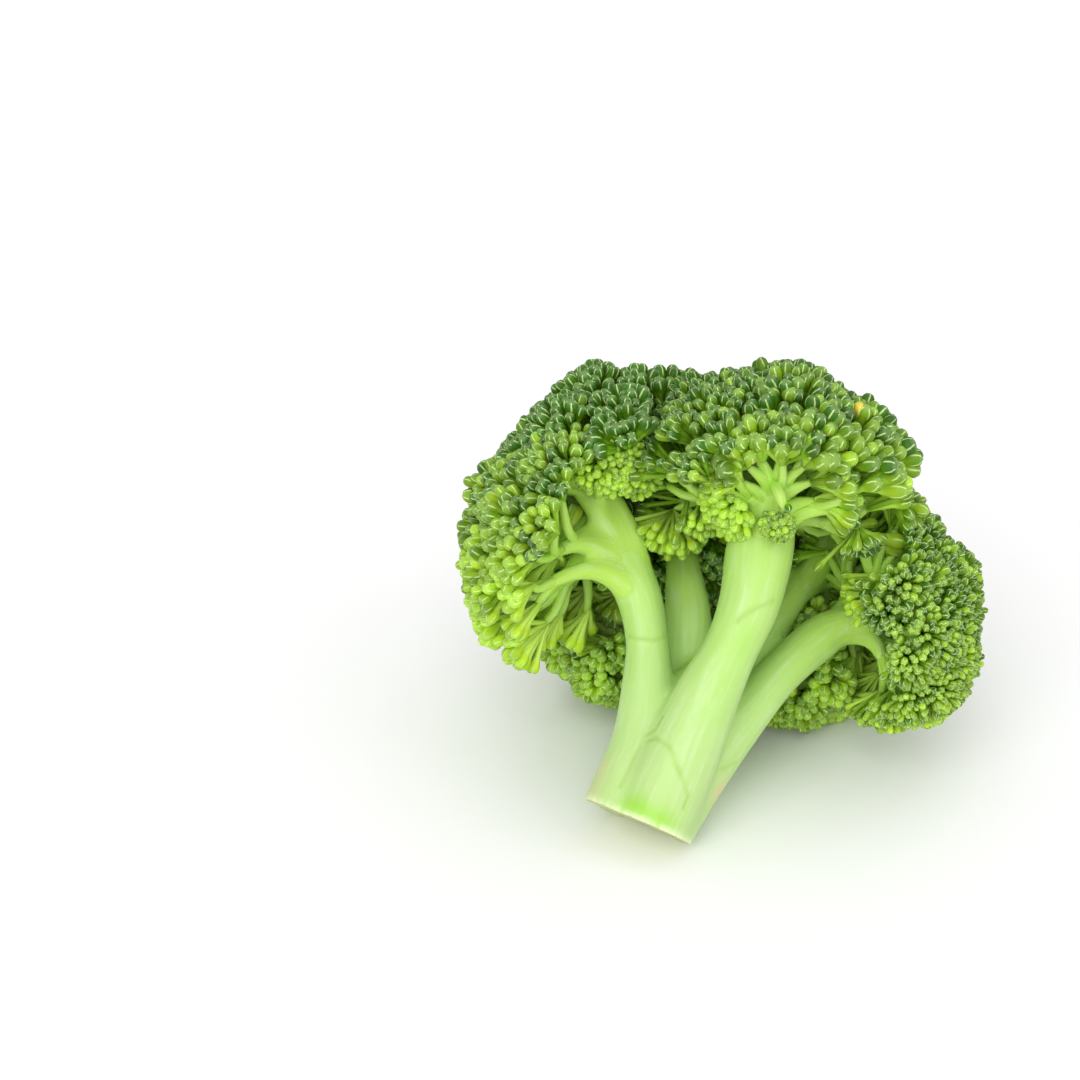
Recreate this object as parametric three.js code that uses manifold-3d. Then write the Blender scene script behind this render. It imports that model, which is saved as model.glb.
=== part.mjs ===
// A broccoli head, cut from its plant and lying on a table.
// One branching stem carries seven domed crowns of buds and three small sprays that grow below them.
// Millimetres, +Z up. The cut end of the stem points to -Y.

import * as THREE from "three";
import { mergeVertices } from "three/addons/utils/BufferGeometryUtils.js";
import Module from "manifold-3d";

const wasm = await Module();
wasm.setup();

// Driving dimensions
const GAP = 0.4; // clear space between neighbouring pieces
const LIMB_SIDES = 12;
const LIMB_STEPS = 12;
const RUN_OUT = 8; // how far each limb runs past the cut before it is trimmed
const CROWN_SEGMENTS = 26;
const DOME_STEPS = 7;
const FLARE_STEPS = 3;
const LUMPS = 17; // bud clusters that swell out of one crown
const LUMP_RISE = 0.05; // of the crown's size
const LUMP_SPREAD = 0.3; // radians from a lump's middle to where it has mostly faded
const GOLDEN_ANGLE = Math.PI * (3 - Math.sqrt(5));
const RIM_DROP = 0.14; // how far the rim rolls under, of the rim's radius
const RIM_INNER = 0.9; // where the roll ends and the flare under the crown begins, of the rim's radius
const NECK_RADIUS = 0.24; // of the rim's radius
const SLAB = 200; // side of the blocks that trim the head
const TABLE = -1.5; // height of the table in the coordinates below

const STEM_COLOUR = 0xbfe892;
const CROWN_COLOUR = 0x5d8a2c;
const SPRAY_COLOUR = 0xa9cf4a;

// The knife's cut through the stem: a point on it and the way it faces.
const CUT_POINT = new THREE.Vector3(-18, -42, 4);
const CUT_FACING = new THREE.Vector3(-0.4, -0.53, -0.75).normalize();

// The stem's limbs, from the cut to the crowns. Each station is [x, y, z, radius].
const LIMBS = {
  trunk: [[-17, -40.5, 6, 9.6], [-11.5, -32.5, 14, 10], [-7, -24, 20.5, 8.5], [-3, -16.5, 27, 5]],
  left: [[-22, -40, 8, 7.2], [-17.5, -33, 17, 6.8], [-16.5, -26, 26, 5.6], [-16.5, -19.5, 34, 4.6],
    [-18.5, -13, 42, 4.9], [-23.5, -7, 49, 5], [-27.5, -3.5, 51.5, 4.6]],
  centre: [[-15.5, -44, 7, 8], [-11, -40, 16.5, 8], [-5, -33.5, 28.5, 6.8], [0, -29, 37.5, 5.7],
    [4, -23.5, 45.5, 6.4], [6.5, -15, 54, 7], [9, -7, 60, 6.5]],
  right: [[-12.5, -42, 4.5, 6.5], [-7, -34, 9.5, 6.4], [2.5, -24.5, 17.5, 5.4], [11.5, -16.5, 24.5, 4.6],
    [20.5, -9, 29, 4.8], [26.5, -7, 31.5, 4.5]],
  rear_left: [[-18, -30.5, 6, 6], [-12.5, -22, 12.5, 6], [-9, -14, 21, 5.5], [-7.5, -5, 31, 5.2],
    [-8.5, 7, 40, 4.8]],
  rear_right: [[-7.5, -24, 9, 6], [-1, -15.5, 17.5, 5], [8, -6.5, 26.5, 4.2], [16.5, 3, 33.5, 4]],
  under_left: [[-19.5, -33, 5, 5.5], [-15.5, -20, 9, 5.5], [-16, -6.5, 13, 4.8], [-18.5, 4.5, 16, 4.2]],
  under_right: [[-12.5, -33.5, 5.5, 5.5], [-5, -21, 8, 5.5], [4, -10, 10, 4.8], [13, -0.5, 11.5, 4.2]],
};

// The crowns, nearest the eye first: each gives way to those before it.
// rim is the middle of the rim, apex the top of the dome, and neck the depth from the rim to the limb's end.
const CROWNS = {
  centre_crown: { rim: [9, -4, 64.5], apex: [12, 11.5, 81.5], width: 27, neck: 9 },
  left_crown: { rim: [-25.5, -1.5, 52], apex: [-47.5, 12, 55.5], width: 33, neck: 11 },
  right_crown: { rim: [32, -6, 33], apex: [52, 2, 36], width: 26, neck: 12 },
  rear_left_crown: { rim: [-10, 22, 38], apex: [-15, 50, 46], width: 25, neck: 16 },
  rear_right_crown: { rim: [23, 19, 34], apex: [34, 46, 38], width: 23, neck: 18 },
  under_left_crown: { rim: [-18, 14, 17.5], apex: [-25, 34, 8.5], width: 19, neck: 11 },
  under_right_crown: { rim: [19, 9, 14], apex: [30, 27, 6], width: 18, neck: 11 },
};

// The small sprays below the crowns, in the same terms.
const SPRAYS = {
  dangling_spray: { rim: [11, -25, 60], apex: [11.5, -27, 56], width: 4.5, neck: 4 },
  inner_spray: { rim: [-4, -16, 63], apex: [-8, -17, 61], width: 5.5, neck: 5 },
  drooping_spray: { rim: [-12, -5, 52], apex: [-13.5, -7, 46], width: 7, neck: 6 },
};

// A three.js geometry as a solid: shared corners are merged and collapsed triangles dropped.
function solid(geometry) {
  const bare = new THREE.BufferGeometry();
  bare.setAttribute("position", geometry.getAttribute("position"));
  bare.setIndex(geometry.index);
  const merged = mergeVertices(bare, 1e-3);
  const kept = [];
  for (let i = 0; i < merged.index.count; i += 3) {
    const [a, b, c] = merged.index.array.subarray(i, i + 3);
    if (a !== b && b !== c && c !== a) kept.push(a, b, c);
  }
  return new wasm.Manifold(new wasm.Mesh({
    numProp: 3,
    vertProperties: merged.getAttribute("position").array,
    triVerts: new Uint32Array(kept),
  }));
}

// A solid as a three.js geometry again.
function geometryOf(body) {
  const mesh = body.getMesh();
  const geometry = new THREE.BufferGeometry();
  geometry.setAttribute("position", new THREE.BufferAttribute(mesh.vertProperties, 3));
  geometry.setIndex(new THREE.BufferAttribute(mesh.triVerts, 1));
  geometry.computeVertexNormals();
  return geometry;
}

// Moves each corner of a geometry to where place(corner) puts it.
function reshape(geometry, place) {
  const corners = geometry.getAttribute("position");
  const corner = new THREE.Vector3();
  for (let i = 0; i < corners.count; i++) {
    const moved = place(corner.fromBufferAttribute(corners, i));
    corners.setXYZ(i, moved.x, moved.y, moved.z);
  }
  return geometry;
}

// A tapering limb through its stations: a closed cylinder bent along a curve.
function limb(stations, grow = 0) {
  const points = stations.map(([x, y, z]) => new THREE.Vector3(x, y, z));
  const start = points[0].clone().sub(points[1]).setLength(RUN_OUT).add(points[0]);
  const radii = stations.map((station) => station[3] + grow);
  const path = new THREE.CatmullRomCurve3([start, ...points], false, "centripetal");
  const widths = [radii[0], ...radii];
  const frames = path.computeFrenetFrames(LIMB_STEPS);
  const widthAt = (t) => {
    const along = t * (widths.length - 1);
    const before = Math.min(Math.floor(along), widths.length - 2);
    return THREE.MathUtils.lerp(widths[before], widths[before + 1], along - before);
  };
  return reshape(new THREE.CylinderGeometry(1, 1, 1, LIMB_SIDES, LIMB_STEPS), (corner) => {
    const share = corner.y + 0.5;
    const step = Math.round(share * LIMB_STEPS);
    const width = widthAt(path.getUtoTmapping(share));
    return path.getPointAt(share)
      .addScaledVector(frames.normals[step], corner.x * width)
      .addScaledVector(frames.binormals[step], -corner.z * width);
  });
}

// How far the lumps lift the surface of a dome in a direction from its middle, from 0 to 1.
function lumpRise(direction) {
  let rise = 0;
  for (let i = 0; i < LUMPS; i++) {
    const height = 1 - (i + 0.5) / LUMPS;
    const round = Math.sqrt(1 - height * height);
    const turn = i * GOLDEN_ANGLE;
    const middle = new THREE.Vector3(round * Math.cos(turn), height, round * Math.sin(turn));
    rise = Math.max(rise, Math.exp(-((direction.angleTo(middle) / LUMP_SPREAD) ** 2)));
  }
  return rise;
}

// A crown: a lumpy dome over a flare that narrows to the neck, turned to face its apex.
function crown({ rim, apex, width, neck }, grow = 0) {
  const foot = new THREE.Vector3(...rim);
  const facing = new THREE.Vector3(...apex).sub(foot);
  const height = facing.length();
  const inner = new THREE.Vector2(width * RIM_INNER, -width * RIM_DROP);
  const start = new THREE.Vector2(width * NECK_RADIUS, -neck);
  const bend = new THREE.Vector2(width * 0.5, THREE.MathUtils.lerp(start.y, inner.y, 0.75));
  const flare = new THREE.QuadraticBezierCurve(start, bend, inner);
  const outline = [new THREE.Vector2(0, -neck), ...flare.getPoints(FLARE_STEPS)];
  for (let i = 0; i <= DOME_STEPS; i++) {
    const angle = (Math.PI / 2) * (i / DOME_STEPS);
    outline.push(new THREE.Vector2(width * Math.cos(angle), height * Math.sin(angle)));
  }
  outline.at(-1).x = 0;
  const swell = 1 + grow / Math.min(width, height);
  const turn = new THREE.Quaternion().setFromUnitVectors(new THREE.Vector3(0, 1, 0), facing.normalize());
  return reshape(new THREE.LatheGeometry(outline, CROWN_SEGMENTS), (corner) => {
    const lift = corner.y > -neck / 2 ? 1 + LUMP_RISE * lumpRise(corner) : 1;
    return corner.multiplyScalar(lift * swell).applyQuaternion(turn).add(foot);
  });
}

// A block whose top face lies on a plane, to trim away what is beyond it.
function trimBlock(point, facing) {
  const block = new THREE.BoxGeometry(SLAB, SLAB, SLAB);
  block.translate(0, 0, SLAB / 2);
  block.applyQuaternion(new THREE.Quaternion().setFromUnitVectors(new THREE.Vector3(0, 0, 1), facing));
  return solid(block.translate(point.x, point.y, point.z));
}

const belowTable = trimBlock(new THREE.Vector3(0, 0, TABLE), new THREE.Vector3(0, 0, -1));
const beyondCut = trimBlock(CUT_POINT, CUT_FACING);

// The stem with all its limbs grown together, trimmed by the knife and flat where it meets the table.
function stemSolid(grow = 0) {
  const limbs = Object.values(LIMBS).map((stations) => solid(limb(stations, grow)));
  const joined = limbs.reduce((all, next) => all.add(next));
  return joined.subtract(beyondCut).subtract(belowTable);
}

// The largest body of a solid that trimming may have left in several.
function largest(body) {
  return body.decompose().reduce((best, next) => (next.volume() > best.volume() ? next : best));
}

function piece(name, body, colour, roughness) {
  const material = new THREE.MeshStandardMaterial({ color: colour, roughness, metalness: 0 });
  const mesh = new THREE.Mesh(geometryOf(body), material);
  mesh.name = name;
  return mesh;
}

const head = new THREE.Group();
head.add(piece("stem", stemSolid(), STEM_COLOUR, 0.45));

// Each crown and spray is cleared of the stem and of the pieces before it.
let taken = stemSolid(GAP);
for (const [shapes, colour] of [[CROWNS, CROWN_COLOUR], [SPRAYS, SPRAY_COLOUR]]) {
  for (const [name, shape] of Object.entries(shapes)) {
    const body = largest(solid(crown(shape)).subtract(taken).subtract(belowTable));
    head.add(piece(name, body, colour, 0.6));
    taken = taken.add(solid(crown(shape, GAP)));
  }
}

// The origin is on the table, under the middle of the head.
const middle = new THREE.Box3().setFromObject(head).getCenter(new THREE.Vector3());
head.position.set(-middle.x, -middle.y, -TABLE);

export default head;
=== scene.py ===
"""A cut broccoli head on a pale floor: one branching stem, seven crowns of buds and three small sprays."""

import logging
import math
from dataclasses import dataclass, field
from enum import Enum
from typing import Any, Sequence, Union

import bmesh
import bpy
import numpy as np
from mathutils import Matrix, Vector


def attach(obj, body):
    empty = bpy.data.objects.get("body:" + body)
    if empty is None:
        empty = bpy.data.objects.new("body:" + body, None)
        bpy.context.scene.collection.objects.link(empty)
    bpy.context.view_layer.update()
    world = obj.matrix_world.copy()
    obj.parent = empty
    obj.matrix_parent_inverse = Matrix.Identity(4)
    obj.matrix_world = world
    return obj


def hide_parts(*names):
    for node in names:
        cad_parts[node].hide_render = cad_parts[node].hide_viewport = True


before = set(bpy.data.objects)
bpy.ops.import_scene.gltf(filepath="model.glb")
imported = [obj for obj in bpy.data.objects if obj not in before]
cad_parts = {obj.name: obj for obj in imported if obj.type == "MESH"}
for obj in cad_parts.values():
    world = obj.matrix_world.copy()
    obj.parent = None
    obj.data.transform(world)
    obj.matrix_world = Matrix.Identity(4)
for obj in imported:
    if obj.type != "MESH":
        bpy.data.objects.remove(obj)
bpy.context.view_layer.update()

LOG = logging.getLogger("broccoli_head")
MM = 0.001
HEAD_SHIFT = (0.094, -0.192, 1.5)  # from the limbs' own millimetres to the frame's
GOLDEN_ANGLE = math.pi * (3.0 - math.sqrt(5.0))
PEDICEL_SHARE = 0.3  # of a bud's wrap map, below the bud itself
RIPE_ROWS = 7  # rows of the bake map for ripeness; one more row is for turned buds
SHADE_COLUMNS = 8
CELL_MARGIN = 0.04
TIP_SHARE = 0.86  # of a clump's reach, where its buds are widest
LOWEST_TIP = -0.4  # millimetres from the floor; buds that would end lower are left out
RIM_DROP = 0.14  # how far a crown reaches below its rim, of its width
LOWEST_FOOT = 0.5  # millimetres from the floor
HEXAGON = 0.866  # room that a round thing takes in a tight layer, of its width squared

Number = Union[int, float]
Triple = tuple[float, float, float]
Station = tuple[float, float, float, float]
Colour = tuple[float, float, float, float]


def tint(red: Number, green: Number, blue: Number) -> Colour:
    """Turns a screen colour (0 to 255) into the linear colour that shaders take."""
    parts = [value / 255.0 for value in (red, green, blue)]
    linear = [p / 12.92 if p <= 0.04045 else ((p + 0.055) / 1.055) ** 2.4 for p in parts]
    return (linear[0], linear[1], linear[2], 1.0)


def unit(vectors: np.ndarray) -> np.ndarray:
    """Scales vectors to a length of one."""
    return vectors / np.maximum(np.linalg.norm(vectors, axis=-1, keepdims=True), 1e-12)


def place(point: Sequence[float]) -> np.ndarray:
    """Moves a point from the head's own millimetres to the frame, in metres."""
    return (np.array(point[:3], float) + HEAD_SHIFT) * MM


def rows(stations: Sequence[Sequence[float]]) -> list[Station]:
    """Moves stations (x, y, z and radius) from the head's own millimetres to the frame, in metres."""
    return [(*place(station), station[3] * MM) for station in stations]


def cross_axes(axes: np.ndarray) -> tuple[np.ndarray, np.ndarray]:
    """Finds two directions across each axis.

    Args:
        axes: unit vectors, one per row.

    Returns:
        Two arrays of unit vectors that make a right-handed frame with the axes.
    """
    helper = np.where(np.abs(axes[..., 2:3]) < 0.9, [[0.0, 0.0, 1.0]], [[1.0, 0.0, 0.0]])
    first = unit(np.cross(helper, axes))
    return first, np.cross(axes, first)


class BudKind(Enum):
    """The two shapes of bud, as (radius, height) outlines: below zero is the stalk, zero to one the bud."""

    BARREL = ((0.0, -1.0), (0.2, -1.0), (0.24, 0.0), (0.38, 0.26), (0.5, 0.58), (0.46, 0.8), (0.28, 0.95),
              (0.0, 1.0))
    BEAD = ((0.0, -1.0), (0.22, -1.0), (0.28, 0.0), (0.48, 0.4), (0.46, 0.74), (0.28, 0.94), (0.0, 1.0))

    @property
    def sides(self) -> int:
        """How many sides a bud of this kind has."""
        return 8 if self is BudKind.BARREL else 6


class MarkKind(Enum):
    """What a mark on the stem does to its skin; the value names its attribute."""

    LINE = "line"
    GREEN = "green"
    BLUSH = "blush"


@dataclass(frozen=True)
class Drift:
    """A value that changes across a crown: its middle, its gain and the way it grows."""

    middle: float
    gain: float = 0.0
    toward: Triple = (0.0, 0.0, 1.0)

    def at(self, spots: np.ndarray) -> np.ndarray:
        """Gives the value at spots measured from the crown's middle, in crown widths."""
        return self.middle + self.gain * spots @ unit(np.array(self.toward))


@dataclass
class Path:
    """A stalk's middle line with its radius at each point and a frame that doesn't twist."""

    points: np.ndarray
    radii: np.ndarray
    along: np.ndarray = field(init=False)
    tangents: np.ndarray = field(init=False)
    sides: np.ndarray = field(init=False)
    backs: np.ndarray = field(init=False)

    def __post_init__(self) -> None:
        """Works out the distance along the line and the frame at each point."""
        steps = np.linalg.norm(np.diff(self.points, axis=0), axis=1)
        self.along = np.concatenate([[0.0], np.cumsum(steps)])
        self.tangents = unit(np.gradient(self.points, axis=0))
        side = cross_axes(self.tangents[:1])[0][0]
        sides = []
        for tangent in self.tangents:
            side = unit(side - tangent * (side @ tangent))
            sides.append(side)
        self.sides = np.array(sides)
        self.backs = np.cross(self.tangents, self.sides)

    @classmethod
    def through(cls, stations: Sequence[Sequence[float]], steps: int) -> "Path":
        """Draws a smooth line through stations.

        Args:
            stations: x, y, z and radius in metres, one row per station.
            steps: how many even steps the line is cut into.

        Returns:
            The path.
        """
        knots = np.asarray(stations, float)
        padded = np.vstack([2 * knots[0] - knots[1], knots, 2 * knots[-1] - knots[-2]])
        share = np.linspace(0, len(knots) - 1, steps + 1)
        first = np.minimum(share.astype(int), len(knots) - 2)
        f = (share - first)[:, None]
        a, b, c, d = (padded[first + k] for k in range(4))
        bend, twist = 2 * a - 5 * b + 4 * c - d, 3 * b - a - 3 * c + d
        run = 0.5 * (2 * b + (c - a) * f + bend * f**2 + twist * f**3)
        return cls(run[:, :3], run[:, 3])


@dataclass
class Stencil:
    """A small shape made once and stamped many times: its points, its faces and its wrap map."""

    points: np.ndarray
    corners: np.ndarray
    sizes: np.ndarray
    wrap: np.ndarray

    @classmethod
    def read(cls, form: bmesh.types.BMesh) -> "Stencil":
        """Reads a bmesh and frees it; the wrap map runs round and along Z.

        Args:
            form: the shape.

        Returns:
            The stencil.
        """
        form.verts.index_update()
        points = np.array([vert.co[:] for vert in form.verts])
        corners, sizes, wrap = [], [], []
        for face in form.faces:
            middle = face.calc_center_median()
            centre = math.atan2(middle.y, middle.x)
            sizes.append(len(face.verts))
            for vert in face.verts:
                corners.append(vert.index)
                turn = math.atan2(vert.co.y, vert.co.x) if vert.co.xy.length > 1e-5 else centre
                turn = centre + math.remainder(turn - centre, 2 * math.pi)
                wrap.append((turn / (2 * math.pi) + 0.5, vert.co.z))
        form.free()
        return cls(points, np.array(corners), np.array(sizes), np.array(wrap))

    @classmethod
    def tube(cls, sides: int, steps: int) -> "Stencil":
        """Makes a closed tube of radius one along Z, from -0.5 to 0.5."""
        form = bmesh.new()
        bmesh.ops.create_cone(form, cap_ends=True, segments=sides, radius1=1.0, radius2=1.0, depth=1.0)
        long_edges = [e for e in form.edges if abs(e.verts[0].co.z - e.verts[1].co.z) > 0.5]
        bmesh.ops.subdivide_edges(form, edges=long_edges, cuts=steps - 1)
        bmesh.ops.recalc_face_normals(form, faces=form.faces[:])
        return cls.read(form)

    @classmethod
    def bud(cls, kind: BudKind) -> "Stencil":
        """Spins a bud with its stalk and, for a barrel, presses the four sepals into it.

        Args:
            kind: the shape of the bud.

        Returns:
            The stencil, one wide and one long.
        """
        form = bmesh.new()
        line = [form.verts.new((radius, 0.0, height)) for radius, height in kind.value]
        edges = [form.edges.new(pair) for pair in zip(line, line[1:])]
        bmesh.ops.spin(form, geom=line + edges, cent=(0, 0, 0), axis=(0, 0, 1), angle=2 * math.pi,
                       steps=kind.sides, use_merge=True)
        bmesh.ops.remove_doubles(form, verts=form.verts[:], dist=1e-5)
        bmesh.ops.recalc_face_normals(form, faces=form.faces[:])
        stencil = cls.read(form)
        height = stencil.wrap[:, 1]
        stencil.wrap[:, 1] = np.where(height < 0, (height + 1) * PEDICEL_SHARE,
                                      PEDICEL_SHARE + height * (1 - PEDICEL_SHARE))
        if kind is BudKind.BARREL:
            turn = np.arctan2(stencil.points[:, 1], stencil.points[:, 0])
            swell = 0.07 * np.cos(4 * turn) * (stencil.points[:, 2] > 0.1)
            stencil.points[:, :2] *= (1 + swell)[:, None]
        return stencil

    def along(self, path: Path) -> np.ndarray:
        """Bends a tube along a path and returns its points."""
        at = np.rint((self.points[:, 2] + 0.5) * (len(path.points) - 1)).astype(int)
        flat = self.points[:, :2] * path.radii[at][:, None]
        return path.points[at] + flat[:, :1] * path.sides[at] + flat[:, 1:] * path.backs[at]


class MeshPile:
    """Gathers stamped stencils, with their attributes and maps, into one mesh."""

    def __init__(self, name: str) -> None:
        """Starts an empty pile."""
        self.name = name
        self.points: list[np.ndarray] = []
        self.corners: list[np.ndarray] = []
        self.sizes: list[np.ndarray] = []
        self.values: dict[str, list[np.ndarray]] = {}
        self.maps: dict[str, list[np.ndarray]] = {}
        self.count = 0

    def stamp(self, stencil: Stencil, points: np.ndarray, values: dict[str, np.ndarray],
              maps: dict[str, np.ndarray]) -> None:
        """Adds copies of a stencil.

        Args:
            stencil: the shape.
            points: the places of its points, as copies by points by 3.
            values: attributes by name, one number per point.
            maps: UV maps by name, one pair per corner.
        """
        copies, size = points.shape[:2]
        starts = self.count + size * np.arange(copies)
        self.points.append(points.reshape(-1, 3))
        self.corners.append((starts[:, None] + stencil.corners).ravel())
        self.sizes.append(np.tile(stencil.sizes, copies))
        for name, value in values.items():
            self.values.setdefault(name, []).append(np.asarray(value).reshape(copies * size, -1))
        for name, pairs in maps.items():
            self.maps.setdefault(name, []).append(pairs.reshape(-1, 2))
        self.count += copies * size

    def build(self) -> bpy.types.Object:
        """Makes the mesh object and returns it."""
        mesh = bpy.data.meshes.new(self.name)
        corners, sizes = np.concatenate(self.corners), np.concatenate(self.sizes)
        mesh.vertices.add(self.count)
        mesh.vertices.foreach_set("co", np.concatenate(self.points).ravel())
        mesh.loops.add(len(corners))
        mesh.loops.foreach_set("vertex_index", corners)
        mesh.polygons.add(len(sizes))
        mesh.polygons.foreach_set("loop_start", np.concatenate([[0], np.cumsum(sizes)[:-1]]))
        for name, pairs in self.maps.items():
            mesh.uv_layers.new(name=name).uv.foreach_set("vector", np.concatenate(pairs).ravel())
        for name, parts in self.values.items():
            write_attribute(mesh, name, np.concatenate(parts))
        mesh.update(calc_edges=True)
        mesh.validate()
        mesh.shade_smooth()
        piece = bpy.data.objects.new(self.name, mesh)
        bpy.context.scene.collection.objects.link(piece)
        return piece


def write_attribute(mesh: bpy.types.Mesh, name: str, values: np.ndarray) -> None:
    """Stores a number or a vector at each point of a mesh.

    Args:
        mesh: the mesh.
        name: the attribute's name.
        values: one number or three per point.
    """
    single = values.ndim == 1 or values.shape[1] == 1
    layer = mesh.attributes.new(name, "FLOAT" if single else "FLOAT_VECTOR", "POINT")
    layer.data.foreach_set("value" if single else "vector", values.ravel())


class Wire:
    """A shader socket that takes part in Python expressions."""

    def __init__(self, graph: "Graph", socket: bpy.types.NodeSocket) -> None:
        """Wraps an output socket."""
        self.graph = graph
        self.socket = socket

    def _math(self, operation: str, left: "Wire | Number", right: "Wire | Number" = 0.0) -> "Wire":
        """Adds a Math node and returns its result."""
        return self.graph.add("ShaderNodeMath", {"operation": operation}, {0: left, 1: right})

    def __add__(self, other: "Wire | Number") -> "Wire":
        """Adds."""
        return self._math("ADD", self, other)

    __radd__ = __add__

    def __sub__(self, other: "Wire | Number") -> "Wire":
        """Takes other from self."""
        return self._math("SUBTRACT", self, other)

    def __rsub__(self, other: Number) -> "Wire":
        """Takes self from other."""
        return self._math("SUBTRACT", other, self)

    def __mul__(self, other: "Wire | Number") -> "Wire":
        """Multiplies."""
        return self._math("MULTIPLY", self, other)

    __rmul__ = __mul__

    def __truediv__(self, other: "Wire | Number") -> "Wire":
        """Divides self by other."""
        return self._math("DIVIDE", self, other)

    def __rtruediv__(self, other: Number) -> "Wire":
        """Divides other by self."""
        return self._math("DIVIDE", other, self)

    def __abs__(self) -> "Wire":
        """Drops the sign."""
        return self._math("ABSOLUTE", self)

    def fraction(self) -> "Wire":
        """Keeps the part after the point."""
        return self._math("FRACT", self)

    def between(self, low: float, high: float) -> "Wire":
        """Rises smoothly from 0 at low to 1 at high."""
        return self.graph.add("ShaderNodeMapRange", {"interpolation_type": "SMOOTHSTEP"},
                              {"Value": self, "From Min": low, "From Max": high})


class Graph:
    """The nodes of one material."""

    def __init__(self, name: str) -> None:
        """Starts a material with no nodes."""
        self.material = bpy.data.materials.new(name)
        self.material.use_nodes = True
        self.tree = self.material.node_tree
        self.tree.nodes.clear()

    def add(self, kind: str, settings: dict[str, Any] | None = None,
            inputs: dict[int | str, Any] | None = None, output: int | str = 0) -> Wire:
        """Adds a node.

        Args:
            kind: the node's type.
            settings: its properties, set first; "stops" gives a ramp's places and colours.
            inputs: values or wires by socket.
            output: the socket that is returned.

        Returns:
            The wire from that socket.
        """
        node = self.tree.nodes.new(kind)
        for name, value in (settings or {}).items():
            if name == "stops":
                self._set_stops(node, value)
            else:
                setattr(node, name, value)
        for key, value in (inputs or {}).items():
            if isinstance(value, Wire):
                self.tree.links.new(value.socket, node.inputs[key])
            else:
                node.inputs[key].default_value = value
        return Wire(self, node.outputs[output]) if len(node.outputs) else Wire(self, None)

    @staticmethod
    def _set_stops(node: bpy.types.Node, stops: Sequence[tuple[float, Colour]]) -> None:
        """Gives a colour ramp its stops."""
        elements = node.color_ramp.elements
        while len(elements) < len(stops):
            elements.new(1.0)
        for element, (spot, colour) in zip(elements, stops):
            element.position, element.color = spot, colour

    def blend(self, factor: Wire | Number, first: Wire | Colour, second: Wire | Colour,
              mode: str = "MIX") -> Wire:
        """Mixes two colours.

        Args:
            factor: how much of the second.
            first: a colour.
            second: a colour.
            mode: the way they mix.

        Returns:
            The mixed colour.
        """
        return self.add("ShaderNodeMix", {"data_type": "RGBA", "blend_type": mode},
                        {0: factor, 6: first, 7: second}, 2)

    def ramp(self, value: Wire, stops: Sequence[tuple[float, Colour]]) -> Wire:
        """Looks a value up in a colour ramp."""
        return self.add("ShaderNodeValToRGB", {"stops": stops}, {0: value})

    def attribute(self, name: str, output: str = "Fac") -> Wire:
        """Reads an attribute of the mesh."""
        return self.add("ShaderNodeAttribute", {"attribute_name": name}, None, output)

    def noise(self, where: Wire, scale: float, detail: float = 3.0) -> Wire:
        """Gives noise from 0 to 1 at a place."""
        return self.add("ShaderNodeTexNoise", {}, {"Vector": where, "Scale": scale, "Detail": detail})

    def object_place(self) -> Wire:
        """Reads the place on the object."""
        return self.add("ShaderNodeTexCoord", {}, None, "Object")

    def finish(self, inputs: dict[str, Any]) -> bpy.types.Material:
        """Adds the surface shader and the output.

        Args:
            inputs: the shader's values or wires by socket.

        Returns:
            The material.
        """
        surface = self.add("ShaderNodeBsdfPrincipled", {"subsurface_method": "BURLEY"}, inputs)
        self.add("ShaderNodeOutputMaterial", {}, {"Surface": surface})
        return self.material


@dataclass(frozen=True)
class BudFinish:
    """The skin of the buds: colours from stalk to tip for young and ripe buds, with pale sepal edges."""

    name: str
    young: tuple[tuple[float, Colour], ...]
    ripe: tuple[tuple[float, Colour], ...]
    turned: Colour
    edge: Colour
    edge_width: float
    edge_share: float

    def material(self) -> bpy.types.Material:
        """Builds the material and returns it."""
        graph = Graph(self.name)
        wrap = graph.add("ShaderNodeUVMap", {"uv_map": "bud_wrap"})
        around = graph.add("ShaderNodeSeparateXYZ", {}, {0: wrap}, "X")
        along = graph.add("ShaderNodeSeparateXYZ", {}, {0: wrap}, "Y")
        rise = ((along - PEDICEL_SHARE) / (1 - PEDICEL_SHARE)).between(0.0, 1.0)
        colour = graph.blend(graph.attribute("ripeness"), graph.ramp(rise, self.young),
                             graph.ramp(rise, self.ripe))
        colour = graph.blend(graph.attribute("turned") * rise, colour, self.turned)
        from_edge = 0.5 - abs((around * 4 + 0.5).fraction() - 0.5)
        edge = (1 - from_edge.between(0.0, self.edge_width)) * rise.between(0.3, 0.65)
        tip = rise.between(0.95, 1.0)
        colour = graph.blend(edge * self.edge_share + tip * 0.12, colour, self.edge)
        value = graph.attribute("shade") * 0.5 + 0.75
        colour = graph.add("ShaderNodeHueSaturation", {}, {"Value": value, "Color": colour})
        bump = graph.add("ShaderNodeBump", {}, {"Height": edge, "Strength": 0.25, "Distance": 0.0002})
        return graph.finish({"Base Color": colour, "Roughness": edge * 0.1 + 0.45, "Normal": bump,
                             "Subsurface Weight": 0.12, "Subsurface Radius": (0.4, 0.8, 0.2),
                             "Subsurface Scale": 0.001, "Specular IOR Level": 0.22})


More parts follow.
